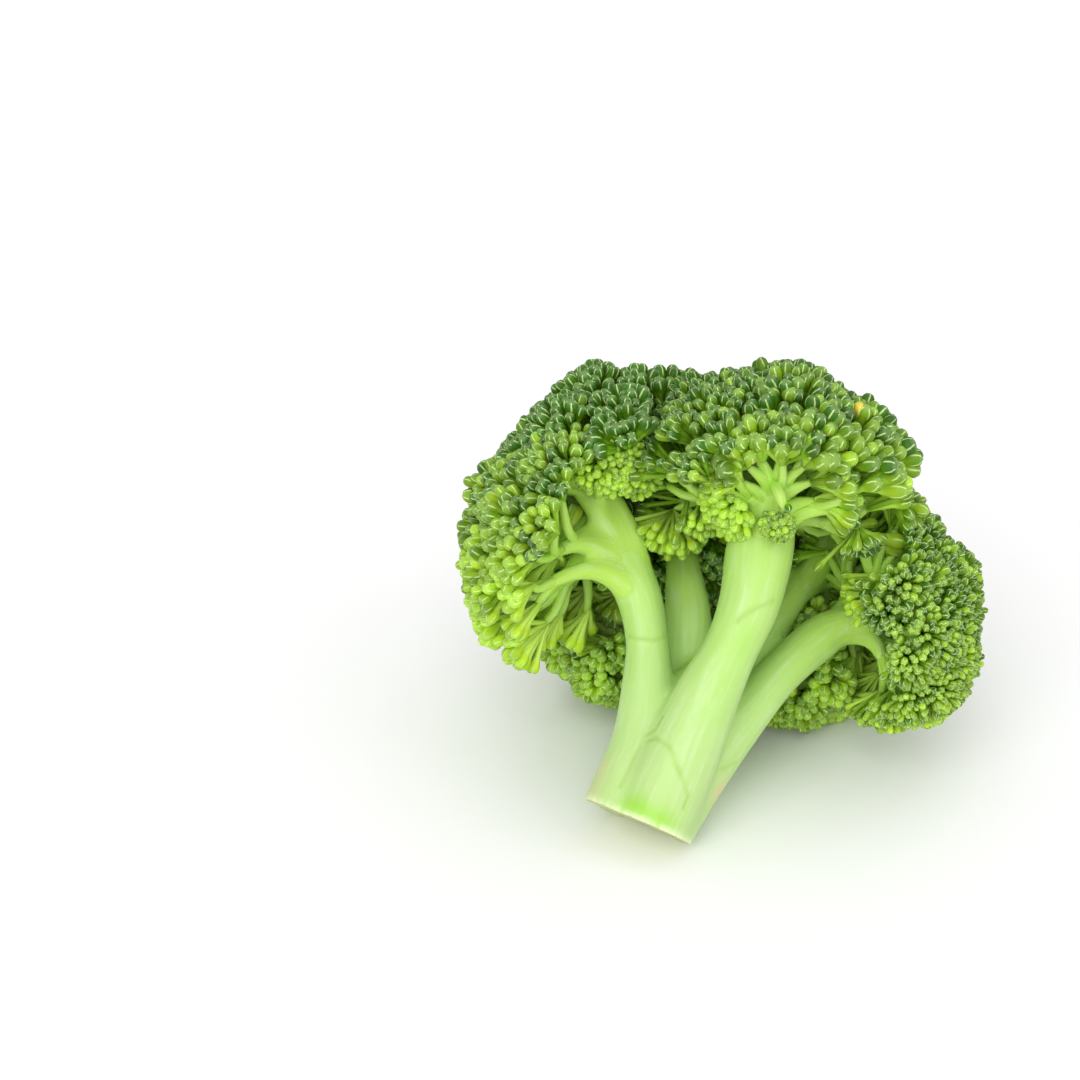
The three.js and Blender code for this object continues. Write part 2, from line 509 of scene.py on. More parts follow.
@dataclass(frozen=True)
class StemFinish:
    """Waxy stem skin: pale at the cut and yellower near the crowns, with streaks and marks."""

    name: str
    heights: tuple[tuple[float, Colour], ...]
    streak: Colour
    groove: Colour
    line: Colour
    green: Colour
    blush: Colour
    rim: Colour

    def material(self) -> bpy.types.Material:
        """Builds the material and returns it."""
        graph = Graph(self.name)
        grain = graph.attribute("grain", "Vector")
        spot = graph.object_place()
        streaks = graph.noise(grain, 1.0, 4.0)
        mottle = graph.noise(spot, 160.0, 3.0)
        height = graph.attribute("height") + (mottle - 0.5) * 0.25
        colour = graph.ramp(height, self.heights)
        colour = graph.blend(streaks.between(0.45, 0.75) * 0.55, colour, self.streak)
        colour = graph.blend((1 - streaks).between(0.5, 0.75) * 0.35, colour, self.groove)
        colour = graph.blend(graph.attribute("green") * (mottle * 0.8 + 0.4), colour, self.green)
        colour = graph.blend(graph.attribute("blush") * mottle.between(0.3, 0.6), colour, self.blush)
        colour = graph.blend(graph.attribute("line") * 0.75, colour, self.line)
        colour = graph.blend(graph.attribute("rim") * streaks.between(0.2, 0.6), colour, self.rim)
        bump = graph.add("ShaderNodeBump", {}, {"Height": streaks * 0.7 + mottle * 0.5, "Strength": 0.35,
                                                "Distance": 0.0006})
        return graph.finish({"Base Color": colour, "Roughness": streaks * 0.16 + 0.36, "Normal": bump,
                             "Subsurface Weight": 0.35, "Subsurface Radius": (0.7, 1.0, 0.4),
                             "Subsurface Scale": 0.003, "Specular IOR Level": 0.45})


@dataclass(frozen=True)
class CutFinish:
    """The knife's cut: moist pith inside a greener rind."""

    name: str
    pith: Colour
    rind: Colour

    def material(self) -> bpy.types.Material:
        """Builds the material and returns it."""
        graph = Graph(self.name)
        spot = graph.object_place()
        fibres = graph.noise(spot, 900.0, 2.0)
        patches = graph.noise(spot, 140.0, 2.0)
        colour = graph.blend((patches * 0.6 + fibres * 0.5).between(0.35, 0.75), self.pith, self.rind)
        bump = graph.add("ShaderNodeBump", {}, {"Height": fibres, "Strength": 0.3, "Distance": 0.0004})
        return graph.finish({"Base Color": colour, "Roughness": fibres * 0.2 + 0.4, "Normal": bump})


@dataclass(frozen=True)
class FloorFinish:
    """The pale studio floor."""

    name: str
    light: Colour
    dark: Colour

    def material(self) -> bpy.types.Material:
        """Builds the material and returns it."""
        graph = Graph(self.name)
        cloud = graph.noise(graph.object_place(), 3.0, 2.0)
        colour = graph.blend(cloud, self.dark, self.light)
        return graph.finish({"Base Color": colour, "Roughness": cloud * 0.1 + 0.75})


@dataclass
class Clump:
    """One round cluster of buds: where its stalks meet, the way it faces and how far its buds reach."""

    foot: np.ndarray
    facing: np.ndarray
    reach: float
    bud: float
    ripeness: float
    spread: float
    stalked: bool = True


@dataclass(frozen=True)
class Tuft:
    """A listed clump, in millimetres: its foot, its top, its buds and whether a stalk runs to it."""

    foot: Triple
    top: Triple
    bud: float
    ripeness: float
    spread: float
    stalked: bool = True

    def clump(self) -> Clump:
        """Gives the clump in the frame."""
        foot = place(self.foot)
        way = place(self.top) - foot
        return Clump(foot, unit(way), float(np.linalg.norm(way)), self.bud * MM, self.ripeness, self.spread,
                     self.stalked)


@dataclass
class BudPatch:
    """The buds of a crown or a spray, stamped from one stencil."""

    kind: BudKind
    slender: float
    seed: int
    turned: int = 0
    crowding: float = 0.84  # space between buds, of their width
    clearance: float = 0.86  # how close a bud may come to another clump's foot, of that clump's reach
    wander: float = 0.07  # how far a bud strays from its place in the clump, in radians
    reach_spread: float = 0.05
    width_spread: float = 0.09
    ripeness_spread: float = 0.19
    length_spread: float = 0.07
    roundness_spread: float = 0.05

    def stamp(self, name: str, clumps: list[Clump], others: list[Clump]) -> bpy.types.Object:
        """Grows the buds of all clumps and makes their mesh.

        Args:
            name: the piece's name.
            clumps: the clumps that carry the buds.
            others: clumps of other pieces, whose room is left free.

        Returns:
            The piece.
        """
        rng = np.random.default_rng(self.seed)
        feet, axes, reaches, widths, ripe = [], [], [], [], []
        around = clumps + others
        middles = np.array([c.foot for c in around])
        rooms = np.array([c.reach for c in around])
        for index, clump in enumerate(clumps):
            grown = self._directions(clump, rng)
            tips = clump.foot + grown * clump.reach * TIP_SHARE
            gaps = np.linalg.norm(tips[:, None] - middles, axis=2) / rooms
            gaps[:, index] = np.inf
            clear = (gaps.min(axis=1) > self.clearance) | (not clump.stalked)
            grown = grown[clear & (tips[:, 2] > LOWEST_TIP * MM)]
            outward = 1 - grown @ clump.facing
            feet.append(np.tile(clump.foot, (len(grown), 1)))
            axes.append(unit(grown + rng.normal(0, self.wander, grown.shape)))
            reaches.append(clump.reach * (1 + rng.normal(0, self.reach_spread, len(grown))))
            swell = np.exp(rng.normal(0, self.width_spread, len(grown)))
            widths.append(clump.bud * (0.9 + 0.2 * outward) * swell)
            ripe.append(clump.ripeness + rng.normal(0, self.ripeness_spread, len(grown)))
        return self._pile(name, rng, np.concatenate(feet), np.concatenate(axes), np.concatenate(reaches),
                          np.concatenate(widths), np.concatenate(ripe))

    def _directions(self, clump: Clump, rng: np.random.Generator) -> np.ndarray:
        """Spreads a clump's buds evenly round the way it faces.

        Args:
            clump: the clump.
            rng: the source of chance.

        Returns:
            Unit vectors, one per bud.
        """
        cap = 1 - math.cos(math.radians(clump.spread))
        room = HEXAGON * (self.crowding * clump.bud) ** 2
        count = max(1, int(2 * math.pi * cap * (clump.reach * TIP_SHARE) ** 2 / room))
        steps = np.arange(count) + 0.5
        cosine = 1 - cap * steps / count
        turn = steps * GOLDEN_ANGLE + rng.uniform(0, 2 * math.pi)
        first, second = cross_axes(clump.facing[None])
        side = np.cos(turn)[:, None] * first + np.sin(turn)[:, None] * second
        return np.sqrt(1 - cosine**2)[:, None] * side + cosine[:, None] * clump.facing

    def _pile(self, name: str, rng: np.random.Generator, feet: np.ndarray, axes: np.ndarray,
              reaches: np.ndarray, widths: np.ndarray, ripe: np.ndarray) -> bpy.types.Object:
        """Stamps the buds, with their colours and maps.

        Args:
            name: the piece's name.
            rng: the source of chance.
            feet: where each bud's stalk starts.
            axes: the way each bud points.
            reaches: how far each tip is from its foot.
            widths: each bud's width.
            ripe: each bud's ripeness from 0 to 1.

        Returns:
            The piece.
        """
        stencil = Stencil.bud(self.kind)
        count = len(feet)
        stretch = np.exp(rng.normal(0, self.length_spread, count))
        lengths = np.minimum(widths * self.slender * stretch, reaches * 0.8)
        stalks = reaches - lengths
        first, second = cross_axes(axes)
        spin = rng.uniform(0, 2 * math.pi, count)[:, None]
        first = first * np.cos(spin) + second * np.sin(spin)
        second = np.cross(axes, first)
        squash = np.exp(rng.normal(0, self.roundness_spread, count))
        x, y, z = stencil.points.T
        height = np.where(z < 0, (z + 1) * stalks[:, None], stalks[:, None] + z * lengths[:, None])
        points = feet[:, None] + height[..., None] * axes[:, None]
        points = points + (x * (widths * squash)[:, None])[..., None] * first[:, None]
        points = points + (y * (widths / squash)[:, None])[..., None] * second[:, None]
        points[..., 2] = np.maximum(points[..., 2], 0.0)
        row = np.clip(np.rint(ripe * (RIPE_ROWS - 1)), 0, RIPE_ROWS - 1)
        column = np.clip(np.rint(rng.normal(3.5, 1.7, count)), 0, SHADE_COLUMNS - 1)
        turned = np.zeros(count)
        if self.turned:
            turned[rng.choice(count, self.turned, replace=False)] = 1.0
        row = np.where(turned > 0, RIPE_ROWS, row)
        cells = np.stack([column, row], axis=1)[:, None]
        inner = CELL_MARGIN + (1 - 2 * CELL_MARGIN) * np.clip(stencil.wrap, 0.0, 1.0)
        pile = MeshPile(name)
        values = {"ripeness": np.minimum(row / (RIPE_ROWS - 1), 1.0), "shade": column / (SHADE_COLUMNS - 1),
                  "turned": turned}
        pile.stamp(stencil, points,
                   {key: np.repeat(value, len(stencil.points)) for key, value in values.items()},
                   {"bud_wrap": np.tile(stencil.wrap, (count, 1)),
                    "OFBake": (cells + inner) / (SHADE_COLUMNS, RIPE_ROWS + 1)})
        LOG.info("%s: %d buds", name, count)
        return pile.build()


@dataclass
class Crown:
    """A domed crown of bud clumps on one limb."""

    node: str
    limb: str
    rim: Triple
    apex: Triple
    width: float
    buds: BudPatch
    bud: float
    gap: float
    reach: float
    ripeness: Drift
    sizing: Drift = Drift(1.0)
    spread: float = 92.0
    lean: float = 0.6  # how far the clumps at the rim turn towards the apex
    fan: float = 54.0  # degrees from the middle of a clump to its outermost buds
    branches: int = 7
    branch_radius: float = 2.4
    boughs: tuple[tuple[Station, ...], ...] = ()  # thick branches with a course of their own
    twigs: tuple[tuple[Station, ...], ...] = ()  # thin ones
    tufts: tuple[Tuft, ...] = ()
    bare: tuple[Station, ...] = ()  # balls in which no clump ends, so the stalks behind them show
    node_taper: float = 0.6  # of a branch's radius, where its stalks begin
    node_share: float = 0.66  # of the way from the limb to a branch's clumps, where its stalks begin
    side_start: float = 0.16  # how far below the limb's end a side branch leaves, of the limb's length
    root_run: float = 5.0  # how far a branch runs back into its limb
    ripeness_spread: float = 0.1
    reach_spread: float = 0.07
    lift: float = -0.6  # how far clumps stand out of the dome
    lift_spread: float = 1.3
    clumps: list[Clump] = field(default_factory=list)

    def holds(self, point: np.ndarray) -> bool:
        """Tells whether a point lies in the dome."""
        middle, apex = place(self.rim), place(self.apex)
        height = np.linalg.norm(apex - middle)
        axis = (apex - middle) / height
        rise = (point - middle) @ axis
        flat = np.linalg.norm(point - middle - rise * axis)
        inside = (rise / height) ** 2 + (flat / (self.width * MM)) ** 2 < 1
        return bool(inside and rise > -RIM_DROP * self.width * MM)

    def plan(self, before: list["Crown"]) -> None:
        """Spreads the clumps over the dome, clear of the crowns before it.

        Args:
            before: the crowns that this one gives way to.
        """
        rng = np.random.default_rng(self.buds.seed)
        middle, apex = place(self.rim), place(self.apex)
        height, width = np.linalg.norm(apex - middle), self.width * MM
        axis = (apex - middle) / height
        first, second = (side[0] for side in cross_axes(axis[None]))
        cap = 1 - math.cos(math.radians(self.spread))
        area = 2 * math.pi * width * math.sqrt((width**2 + height**2) / 2) * cap
        count = int(area / (HEXAGON * (self.gap * MM) ** 2))
        steps = np.arange(count) + 0.5
        cosine = np.clip(1 - cap * (steps + rng.uniform(-0.4, 0.4, count)) / count, -1, 1)[:, None]
        turn = (steps * GOLDEN_ANGLE + rng.normal(0, 0.06, count))[:, None]
        side = np.cos(turn) * first + np.sin(turn) * second
        sine = np.sqrt(1 - cosine**2)
        spots = middle + width * sine * side + height * cosine * axis
        normals = unit(sine / width * side + cosine / height * axis)
        share = (spots - middle) / width
        ripeness = self.ripeness.at(share) + rng.normal(0, self.ripeness_spread, count)
        sizing = self.sizing.at(share)
        lifts = rng.normal(self.lift * MM, self.lift_spread * MM, count)
        facings = unit(normals + self.lean * sine * axis)
        reaches = self.reach * MM * np.exp(rng.normal(0, self.reach_spread, count))
        for spot, facing, ripe, size, lift, reach in zip(spots, facings, ripeness, sizing, lifts, reaches):
            foot = spot + facing * (lift - reach)
            top = foot + facing * reach
            if any(np.linalg.norm(top - place(ball)) < ball[3] * MM for ball in self.bare):
                continue
            inner = spot - 0.3 * reach * facing
            if foot[2] < LOWEST_FOOT * MM or any(crown.holds(inner) for crown in before):
                continue
            self.clumps.append(Clump(foot, facing, reach, self.bud * MM * size, ripe, self.fan))
        self.clumps += [tuft.clump() for tuft in self.tufts]

    def stalks(self, limb: Path) -> tuple[list[Path], list[Path]]:
        """Branches the limb to every clump.

        Args:
            limb: the limb that the crown grows on.

        Returns:
            The thick branches and the thin ones.
        """
        feet = np.array([clump.foot for clump in self.clumps])
        groups = self._groups(feet, limb.points[-1])
        radius = self.branch_radius * MM
        thick = [Path.through(rows(bough), 12) for bough in self.boughs]
        thin = [Path.through(rows(twig), 12) for twig in self.twigs]
        for group in groups:
            mean = feet[group].mean(axis=0)
            aside = 1 - unit(mean - limb.points[-1]) @ limb.tangents[-1]
            at = np.searchsorted(limb.along, limb.along[-1] * (1 - self.side_start * min(aside, 1.3)))
            at = min(at, len(limb.points) - 1)
            hub, along = limb.points[at], limb.tangents[at]
            out = mean - hub
            node = hub + self.node_share * out
            bend = hub + 0.3 * out + 0.2 * np.linalg.norm(out) * along
            root = hub - self.root_run * MM * along
            thick.append(Path.through([(*root, radius), (*hub, 1.1 * radius), (*bend, 0.95 * radius),
                                       (*node, self.node_taper * radius)], 10))
        return thick, thin + [self._stalk(clump, thick) for clump in self.clumps if clump.stalked]

    @staticmethod
    def _stalk(clump: Clump, thick: list[Path]) -> Path:
        """Runs a thin stalk from the nearest branch to a clump's foot."""
        branch = min(thick, key=lambda path: np.linalg.norm(path.points[-1] - clump.foot))
        node, radius = branch.points[-1], branch.radii[-1]
        start = node - branch.tangents[-1] * 3 * MM
        middle = 0.5 * (node + clump.foot)
        middle = middle + 0.12 * (branch.tangents[-1] - clump.facing) * np.linalg.norm(clump.foot - node)
        return Path.through([(*start, 0.7 * radius), (*middle, 0.62 * radius),
                             (*(clump.foot + clump.facing * 0.5 * MM), 0.48 * radius)], 5)

    def _groups(self, feet: np.ndarray, hub: np.ndarray) -> list[np.ndarray]:
        """Gathers clumps that lie in about the same direction from the hub.

        Args:
            feet: the clumps' feet.
            hub: the limb's end.

        Returns:
            The clumps' numbers, one array per branch.
        """
        ways = unit(feet - hub)
        centres = ways[:1]
        while len(centres) < self.branches:
            centres = np.vstack([centres, ways[np.argmin((ways @ centres.T).max(axis=1))]])
        for _ in range(8):
            nearest = np.argmax(ways @ centres.T, axis=1)
            means = [ways[nearest == k].mean(axis=0) if (nearest == k).any() else centres[k]
                     for k in range(len(centres))]
            centres = unit(np.array(means))
        return [np.flatnonzero(nearest == k) for k in range(len(centres)) if (nearest == k).any()]

    def build(self, material: bpy.types.Material, others: list[Clump]) -> bpy.types.Object:
        """Builds and dresses the crown.

        Args:
            material: the finish of the buds.
            others: clumps of the crowns before it.

        Returns:
            The piece.
        """
        piece = self.buds.stamp(f"{self.node}_buds", self.clumps, others)
        return dress(piece, self.node, "crown_buds", material)


@dataclass
class Spray:
    """A small loose spray of buds on stalks that meet at one point."""

    node: str
    root: Triple
    toward: Triple
    reach: float
    bud: float
    spread: float
    ripeness: float
    buds: BudPatch
    stalk: tuple[Station, ...]
    bract: tuple[Station, ...] = ()
    tufts: tuple[Tuft, ...] = ()

    def clumps(self) -> list[Clump]:
        """Gives the spray's main clump and its tufts."""
        root = place(self.root)
        clump = Clump(root, unit(place(self.toward) - root), self.reach * MM, self.bud * MM, self.ripeness,
                      self.spread)
        return [clump, *(tuft.clump() for tuft in self.tufts)]

    def path(self) -> Path:
        """Gives the stalk that carries the spray."""
        return Path.through(rows(self.stalk), 6)

    def bracts(self) -> list[Path]:
        """Gives the slip of a leaf beside the spray, if it has one."""
        return [Path.through(rows(self.bract), 8)] if self.bract else []

    def build(self, material: bpy.types.Material) -> bpy.types.Object:
        """Builds and dresses the spray and returns it."""
        piece = self.buds.stamp(f"{self.node}_buds", self.clumps(), [])
        return dress(piece, self.node, "spray_buds", material)


def dress(piece: bpy.types.Object, node: str, slot: str,
          *materials: bpy.types.Material) -> bpy.types.Object:
    """Gives a piece its materials and its place in the frame.

    Args:
        piece: the finished piece.
        node: the node that it replaces.
        slot: the material slot of the record; not used.
        materials: its finishes.

    Returns:
        The piece.
    """
    for material in materials:
        piece.data.materials.append(material)
    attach(piece, "root")
    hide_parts(node)
    return piece


@dataclass(frozen=True)
class Mark:
    """A mark on the stem's skin along a line of points, in millimetres."""

    kind: MarkKind
    points: tuple[Triple, ...]
    width: float
    share: float
    lift: float = 0.0

    def nearness(self, places: np.ndarray) -> np.ndarray:
        """Tells how strongly the mark shows at each place, from 0 to 1.

        Args:
            places: points in metres.

        Returns:
            One number per place.
        """
        line = np.array([place(point) for point in self.points])
        best = np.full(len(places), np.inf)
        for start, end in zip(line, line[1:]):
            run = end - start
            share = np.clip((places - start) @ run / (run @ run), 0, 1)
            best = np.minimum(best, np.linalg.norm(places - start - share[:, None] * run, axis=1))
        return np.exp(-((best / (self.width * MM)) ** 2))


@dataclass
class Stem:
    """The branching stem with the stalks that run into its crowns."""

    limbs: dict[str, tuple[Station, ...]]
    marks: tuple[Mark, ...]
    cut_point: Triple
    cut_facing: Triple
    run_out: float = 8.0
    end_taper: float = 0.7
    voxel: float = 0.75
    smoothing: int = 12
    limb_sides: int = 24
    limb_steps: int = 40
    branch_sides: int = 14
    thin_sides: int = 8

    def paths(self) -> dict[str, Path]:
        """Draws the limbs, each run past the cut that trims it."""
        paths = {}
        for name, stations in self.limbs.items():
            line = rows(stations)
            line[-1] = (*line[-1][:3], line[-1][3] * self.end_taper)
            first, second = np.array(line[0]), np.array(line[1])
            start = first[:3] + unit(first[:3] - second[:3]) * self.run_out * MM
            paths[name] = Path.through([(*start, first[3]), *line], self.limb_steps)
        return paths

    def build(self, limbs: list[Path], thick: list[Path], thin: list[Path], skin: bpy.types.Material,
              cut: bpy.types.Material) -> bpy.types.Object:
        """Grows limbs and stalks together, cuts the foot and marks the skin.

        Args:
            limbs: the limbs' paths.
            thick: branches that grow smoothly out of the limbs.
            thin: the stalks inside the crowns.
            skin: the stem's finish.
            cut: the finish of the cut face.

        Returns:
            The piece.
        """
        fused = self._fuse(limbs, thick)
        form = bmesh.new()
        form.from_mesh(fused.data)
        bpy.data.objects.remove(fused)
        for _ in range(self.smoothing):
            bmesh.ops.smooth_vert(form, verts=form.verts[:], factor=0.5, use_axis_x=True, use_axis_y=True,
                                  use_axis_z=True)
        self._trim(form)
        self._refine(form)
        piece = self._skin(form, limbs, thick, thin)
        LOG.info("stem: %d faces", len(piece.data.polygons))
        return dress(piece, "stem", "stem_flesh", skin, cut)

    def _fuse(self, limbs: list[Path], thick: list[Path]) -> bpy.types.Object:
        """Fuses overlapping tubes into one skin and returns it as an object."""
        pile = MeshPile("stem_tubes")
        for sides, paths in ((self.limb_sides, limbs), (self.branch_sides, thick)):
            for path in paths:
                tube = Stencil.tube(sides, len(path.points) - 1)
                pile.stamp(tube, tube.along(path)[None], {}, {})
        tubes = pile.build()
        remesh = tubes.modifiers.new("fuse", "REMESH")
        remesh.mode = "VOXEL"
        remesh.voxel_size = self.voxel * MM
        whole = bpy.data.meshes.new_from_object(tubes.evaluated_get(bpy.context.evaluated_depsgraph_get()))
        bpy.data.objects.remove(tubes)
        fused = bpy.data.objects.new("stem_fused", whole)
        bpy.context.scene.collection.objects.link(fused)
        return fused

    def _trim(self, form: bmesh.types.BMesh) -> None:
        """Cuts the stem's foot off flat and presses it on to the floor."""
        facing = unit(np.array(self.cut_facing))
        spot = place(self.cut_point)
        foot = [v for v in form.verts if np.linalg.norm(np.array(v.co) - spot) < 30 * MM]
        near = set(foot)
        geometry = foot + [e for e in form.edges if e.verts[0] in near or e.verts[1] in near]
        geometry += [f for f in form.faces if any(v in near for v in f.verts)]
        bmesh.ops.bisect_plane(form, geom=geometry, dist=1e-6, plane_co=spot, plane_no=facing,
                               clear_outer=True)
        rims = [e for e in form.edges if e.is_boundary]
        made = bmesh.ops.holes_fill(form, edges=rims, sides=0)["faces"]
        for face in made:
            face.material_index = 1
            face.smooth = False
        for vert in form.verts:
            vert.co.z = max(vert.co.z, 0.0)

    def _refine(self, form: bmesh.types.BMesh) -> None:
        """Splits the skin finely along the fine marks."""
        form.verts.ensure_lookup_table()
        places = np.array([v.co[:] for v in form.verts])
        near = np.zeros(len(places), bool)
        for mark in self.marks:
            if mark.kind is MarkKind.LINE:
                near |= mark.nearness(places) > 0.02
        edges = [e for e in form.edges if near[e.verts[0].index] and near[e.verts[1].index]]
        bmesh.ops.subdivide_edges(form, edges=edges, cuts=2, use_grid_fill=True)

    def _skin(self, form: bmesh.types.BMesh, limbs: list[Path], thick: list[Path],
              thin: list[Path]) -> bpy.types.Object:
        """Turns the fused form and the thin stalks into one piece with its attributes.

        Args:
            form: the trimmed form, which is freed.
            limbs: the limbs' paths.
            thick: the branches' paths.
            thin: the stalks inside the crowns.

        Returns:
            The piece.
        """
        form.normal_update()
        form.verts.index_update()
        places = np.array([v.co[:] for v in form.verts])
        normals = np.array([v.normal[:] for v in form.verts])
        cut_faces = np.array([f.material_index for f in form.faces])
        corners = np.array([v.index for f in form.faces for v in f.verts])
        sizes = np.array([len(f.verts) for f in form.faces])
        form.free()
        values = self._grain(places, limbs, thick)
        depth = (place(self.cut_point) - places) @ unit(np.array(self.cut_facing))
        values["rim"] = np.exp(-((depth / (0.9 * MM)) ** 2))
        for kind in MarkKind:
            values[kind.value] = np.zeros(len(places))
        for mark in self.marks:
            near = mark.nearness(places)
            values[mark.kind.value] = np.maximum(values[mark.kind.value], near * mark.share)
            places = places + normals * (near * mark.lift * MM)[:, None]
        places[:, 2] = np.maximum(places[:, 2], 0.0)
        pile = MeshPile("stem_skin")
        pile.stamp(Stencil(places, corners, sizes, np.zeros((len(corners), 2))), places[None], values, {})
        for path in thin:
            tube = Stencil.tube(self.thin_sides, len(path.points) - 1)
            points = tube.along(path)
            points[:, 2] = np.maximum(points[:, 2], 0.0)
            turn = np.arctan2(tube.points[:, 1], tube.points[:, 0])
            height = tube.points[:, 2]
            grain = np.stack([2 * np.cos(turn), 2 * np.sin(turn), height + path.points[0, 0] / MM], 1)
            marks = {name: np.zeros(len(points)) for name in ("rim", *(kind.value for kind in MarkKind))}
            pile.stamp(tube, points[None], {"grain": grain, "height": 1.3 + 0.4 * height, **marks}, {})
        piece = pile.build()
        faces = np.zeros(len(piece.data.polygons), np.int32)
        faces[:len(cut_faces)] = cut_faces
        piece.data.polygons.foreach_set("material_index", faces)
        piece.data.polygons.foreach_set("use_smooth", faces == 0)
        return piece

    def _grain(self, places: np.ndarray, limbs: list[Path], thick: list[Path]) -> dict[str, np.ndarray]:
        """Finds how the grain runs at each place and how far up the stem it is.

        Args:
            places: points of the skin.
            limbs: the limbs' paths.
            thick: the branches' paths.

        Returns:
            The attributes "grain" and "height".
        """
        spots, radii, sides, backs, along, heights = [], [], [], [], [], []
        for index, path in enumerate(limbs + thick):
            spots.append(path.points)
            radii.append(path.radii)
            sides.append(path.sides)
            backs.append(path.backs)
            along.append(path.along + 0.05 * index)
            share = path.along / path.along[-1]
            heights.append(share if index < len(limbs) else 1 + 0.2 * share)
        spots, sides, backs = np.vstack(spots), np.vstack(sides), np.vstack(backs)
        radii, along, heights = np.concatenate(radii), np.concatenate(along), np.concatenate(heights)
        grain, height = np.zeros((len(places), 3)), np.zeros(len(places))
        for start in range(0, len(places), 4000):
            block = slice(start, start + 4000)
            gaps = np.linalg.norm(places[block, None] - spots, axis=2) - radii
            best = gaps.argmin(axis=1)
            off = places[block] - spots[best]
            grain[block, 0] = np.einsum("ij,ij->i", off, sides[best]) / (1.3 * MM)
            grain[block, 1] = np.einsum("ij,ij->i", off, backs[best]) / (1.3 * MM)
            grain[block, 2] = along[best] / (14 * MM)
            height[block] = heights[best]
        return {"grain": grain, "height": height}


@dataclass
class Studio:
    """The plain floor, the soft light and the camera."""

    floor: FloorFinish
    floor_size: float = 6.0
    camera_place: Triple = (-0.03845, -0.55468, 0.34338)
    camera_tilt: float = 62.0  # degrees from straight down
    lens: float = 100.0
    sensor: float = 36.0
    sky: float = 0.6
    backdrop: float = 0.95

    def build(self) -> None:
        """Builds the floor, the lights and the camera."""
        self._floor()
        self._sun("front", (-0.3, -1.0, 0.75), 50.0, 1.6)
        self._sun("top", (0.15, 0.1, 1.0), 70.0, 0.6)
        self._sun("fill", (1.0, -0.8, 0.6), 60.0, 0.5)
        self._sky()
        self._camera()

    def _floor(self) -> None:
        """Lays the floor at the frame's zero height."""
        form = bmesh.new()
        bmesh.ops.create_grid(form, x_segments=2, y_segments=2, size=self.floor_size / 2)
        mesh = bpy.data.meshes.new("studio_floor")
        form.to_mesh(mesh)
        form.free()
        mesh.materials.append(self.floor.material())
        floor = bpy.data.objects.new("studio_floor", mesh)
        bpy.context.scene.collection.objects.link(floor)

    @staticmethod
    def _sun(name: str, spot: Triple, width: float, power: float) -> None:
        """Hangs a broad soft light that shines evenly from far off.

        Args:
            name: the light's name.
            spot: the way to it from the head.
            width: how wide it looks, in degrees.
            power: its power in watts per square metre.
        """
        data = bpy.data.lights.new(name, "SUN")
        data.energy, data.angle = power, math.radians(width)
        light = bpy.data.objects.new(name, data)
        light.location = spot
        light.rotation_mode = "QUATERNION"
        light.rotation_quaternion = Vector(spot).to_track_quat("Z", "Y")
        bpy.context.scene.collection.objects.link(light)

    def _sky(self) -> None:
        """Surrounds the studio with even white light and a paler backdrop."""
        world = bpy.data.worlds.new("studio_sky")
        world.use_nodes = True
        tree = world.node_tree
        light = tree.nodes["Background"]
        backdrop = tree.nodes.new("ShaderNodeBackground")
        for node, strength in ((light, self.sky), (backdrop, self.backdrop)):
            node.inputs["Color"].default_value = (1.0, 1.0, 1.0, 1.0)
            node.inputs["Strength"].default_value = strength
        mix = tree.nodes.new("ShaderNodeMixShader")
        seen = tree.nodes.new("ShaderNodeLightPath").outputs["Is Camera Ray"]
        tree.links.new(seen, mix.inputs[0])
        tree.links.new(light.outputs[0], mix.inputs[1])
        tree.links.new(backdrop.outputs[0], mix.inputs[2])
        tree.links.new(mix.outputs[0], tree.nodes["World Output"].inputs["Surface"])
        bpy.context.scene.world = world

    def _camera(self) -> None:
        """Sets the camera where the photograph was taken from."""
        data = bpy.data.cameras.new("camera")
        data.lens, data.sensor_width = self.lens, self.sensor
        camera = bpy.data.objects.new("camera", data)
        camera.location = self.camera_place
        camera.rotation_euler = (math.radians(self.camera_tilt), 0.0, 0.0)
        bpy.context.scene.collection.objects.link(camera)
        bpy.context.scene.camera = camera
        bpy.context.scene.view_settings.view_transform = "Standard"


BUDS = BudFinish(
    name="bud_skin",
    young=((0.0, tint(212, 242, 108)), (0.3, tint(204, 236, 60)), (0.7, tint(190, 226, 44)),
           (1.0, tint(166, 212, 56))),
    ripe=((0.0, tint(138, 188, 40)), (0.3, tint(88, 138, 8)), (0.75, tint(60, 106, 12)),
          (1.0, tint(58, 106, 42))),
    turned=tint(222, 196, 44),
    edge=tint(222, 240, 160),
    edge_width=0.13,
    edge_share=0.78,
)
STEM_SKIN = StemFinish(
    name="stem_skin",
    heights=((0.0, tint(180, 208, 134)), (0.35, tint(180, 214, 132)), (0.7, tint(176, 216, 114)),
             (0.95, tint(180, 220, 96)), (1.0, tint(176, 216, 82))),
    streak=tint(196, 222, 158),
    groove=tint(172, 212, 106),
    line=tint(150, 190, 74),
    green=tint(150, 210, 44),
    blush=tint(214, 200, 150),
    rim=tint(226, 234, 192),
)
CUT_SKIN = CutFinish(name="cut_face", pith=tint(206, 214, 154), rind=tint(172, 188, 112))
FLOOR_SKIN = FloorFinish(name="floor", light=tint(250, 250, 250), dark=tint(246, 246, 246))

